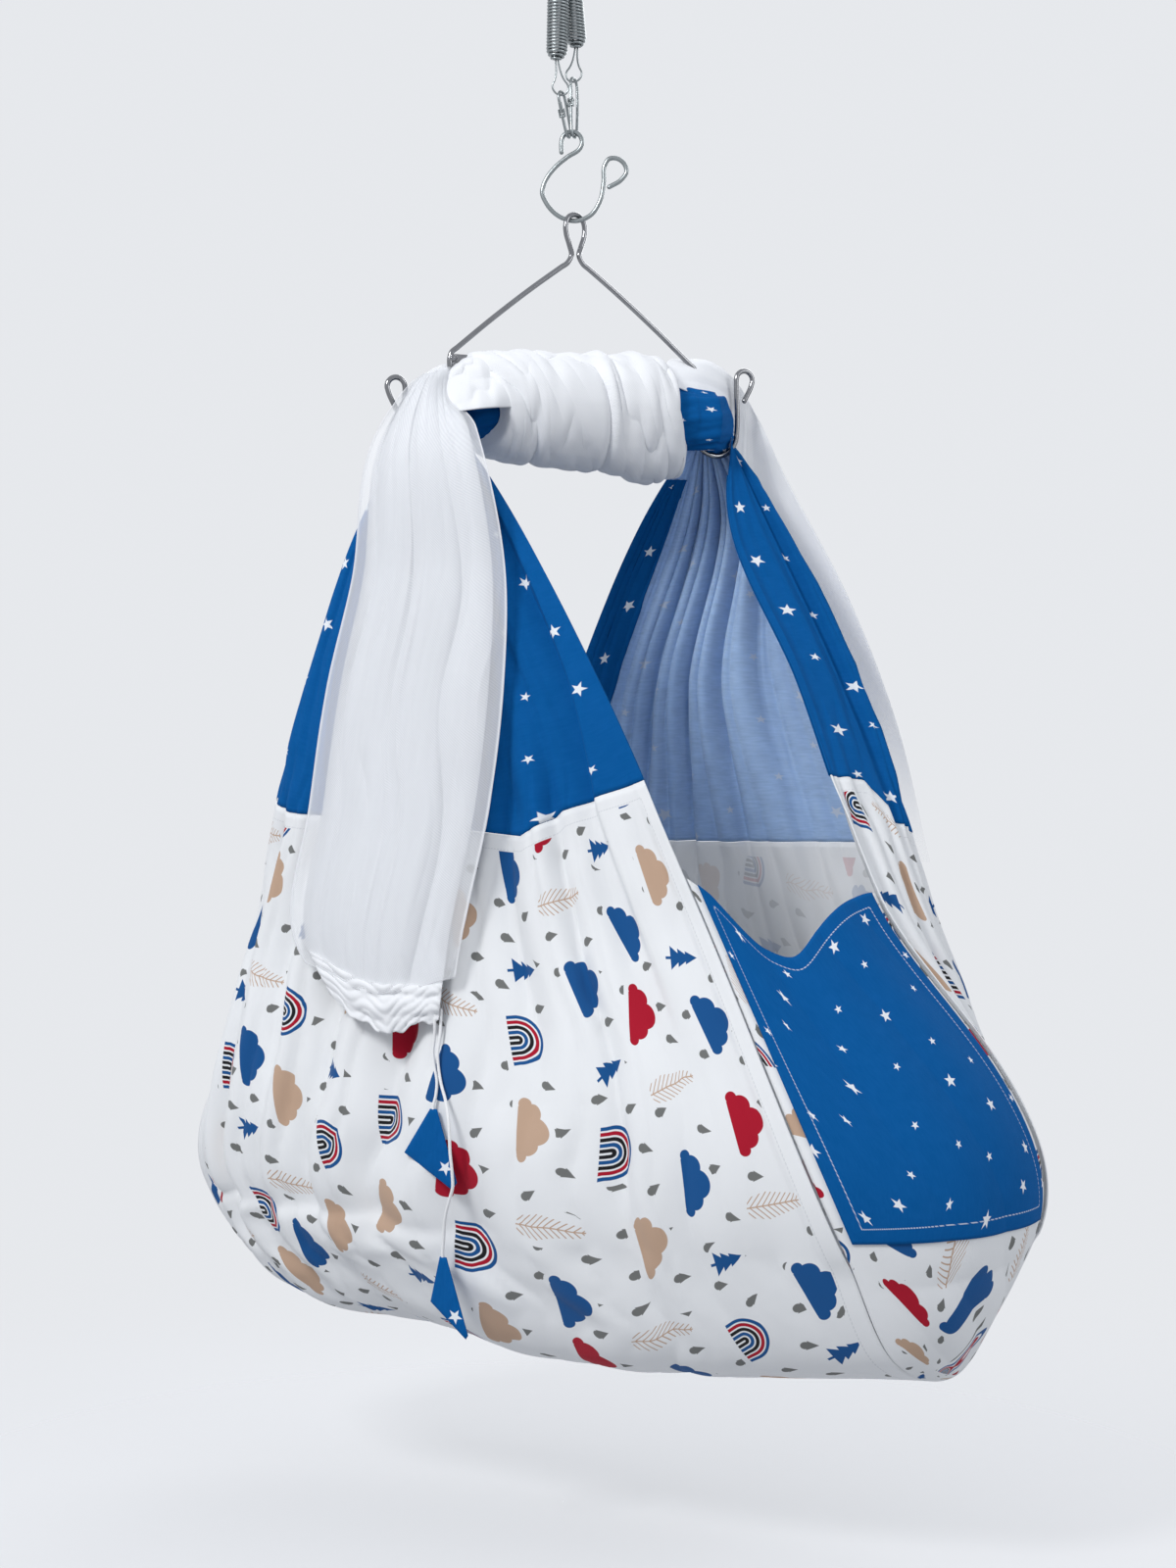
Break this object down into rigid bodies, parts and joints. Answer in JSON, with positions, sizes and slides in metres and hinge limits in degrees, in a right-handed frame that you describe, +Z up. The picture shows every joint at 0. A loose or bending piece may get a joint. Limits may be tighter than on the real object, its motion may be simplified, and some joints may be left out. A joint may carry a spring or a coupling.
{
  "type": "hanging baby cradle",
  "caption": "Hanging baby cradle: cloth sack with pocket end, gathered on a wire hanger with a mosquito net, hung from paired springs.",
  "frame": {"origin": "inside top of the hang link, where a ceiling hook bears", "axes": "+Z up, +X along the cradle towards the end with the pocket, +Y across the cradle"},
  "size_m": [0.9375, 0.5216, 1.4996],
  "materials": {
    "zinc": "bright zinc",
    "chrome": "polished",
    "star_cloth": "woven cotton with small white stars",
    "print_cloth": "white woven cotton with a small nursery print",
    "net": "fine white mosquito net",
    "pad": "cotton covered foam pad"
  },
  "bodies": {
    "link": {"hang_link": "zinc"},
    "springs": {"left_spring": "zinc", "right_spring": "zinc", "left_spring_top_loop": "zinc", "right_spring_top_loop": "zinc"},
    "hooks": {"left_spring_bottom_loop": "zinc", "right_spring_bottom_loop": "zinc", "left_snap_hook": "zinc", "right_snap_hook": "zinc"},
    "left_gate": {"left_snap_gate": "zinc"},
    "right_gate": {"right_snap_gate": "zinc"},
    "s_hook": {"s_hook": "zinc"},
    "cradle": {"hanger_rod": "chrome", "crossbar": "chrome", "top_band": "star_cloth", "net_wrap": "net", "net_tail": "net", "net_back_fall": "net", "left_star_panel": "star_cloth", "right_star_panel": "star_cloth", "print_loop": "print_cloth", "left_near_facing": "star_cloth", "left_far_facing": "star_cloth", "right_near_facing": "star_cloth", "right_far_facing": "star_cloth", "near_end_panel": "print_cloth", "far_end_panel": "print_cloth", "near_pocket": "star_cloth", "mattress": "pad", "short_drawstring": "net", "long_drawstring": "net", "short_tassel": "star_cloth", "long_tassel": "star_cloth"}
  },
  "joints": [
    {"name": "spring_swing", "type": "hinge", "parent": "link", "child": "springs", "pos_m": [0, 0, -0.043], "axis": [-0.1908, 0.9816, 0], "range_deg": [-15, 15]},
    {"name": "spring_stretch", "type": "slide", "parent": "springs", "child": "hooks", "axis": [0, 0, -1], "range_m": [-0.015, 0.09], "stiffness_N_per_m": 900, "springref_m": -0.03096, "deforming": ["left_spring", "right_spring"]},
    {"name": "left_gate_turn", "type": "hinge", "parent": "hooks", "child": "left_gate", "pos_m": [0.00466, -0.01057, -0.24459], "axis": [-0.9864, -0.1386, -0.0878], "range_deg": [0, 14], "stiffness_Nm_per_rad": 0.05, "springref_deg": -22.92},
    {"name": "right_gate_turn", "type": "hinge", "parent": "hooks", "child": "right_gate", "pos_m": [0.00697, 0.00332, -0.23111], "axis": [-0.9874, -0.1388, -0.0761], "range_deg": [0, 14], "stiffness_Nm_per_rad": 0.05, "springref_deg": -22.92},
    {"name": "s_hook_swing", "type": "hinge", "parent": "hooks", "child": "s_hook", "pos_m": [0.00713, 0.00463, -0.27317], "axis": [-0.5446, 0.8387, 0], "range_deg": [-20, 20]},
    {"name": "hanger_rock", "type": "hinge", "parent": "s_hook", "child": "cradle", "pos_m": [0.01006, 0.00654, -0.35367], "axis": [0.8387, 0.5446, 0], "range_deg": [-20, 20]}
  ]
}
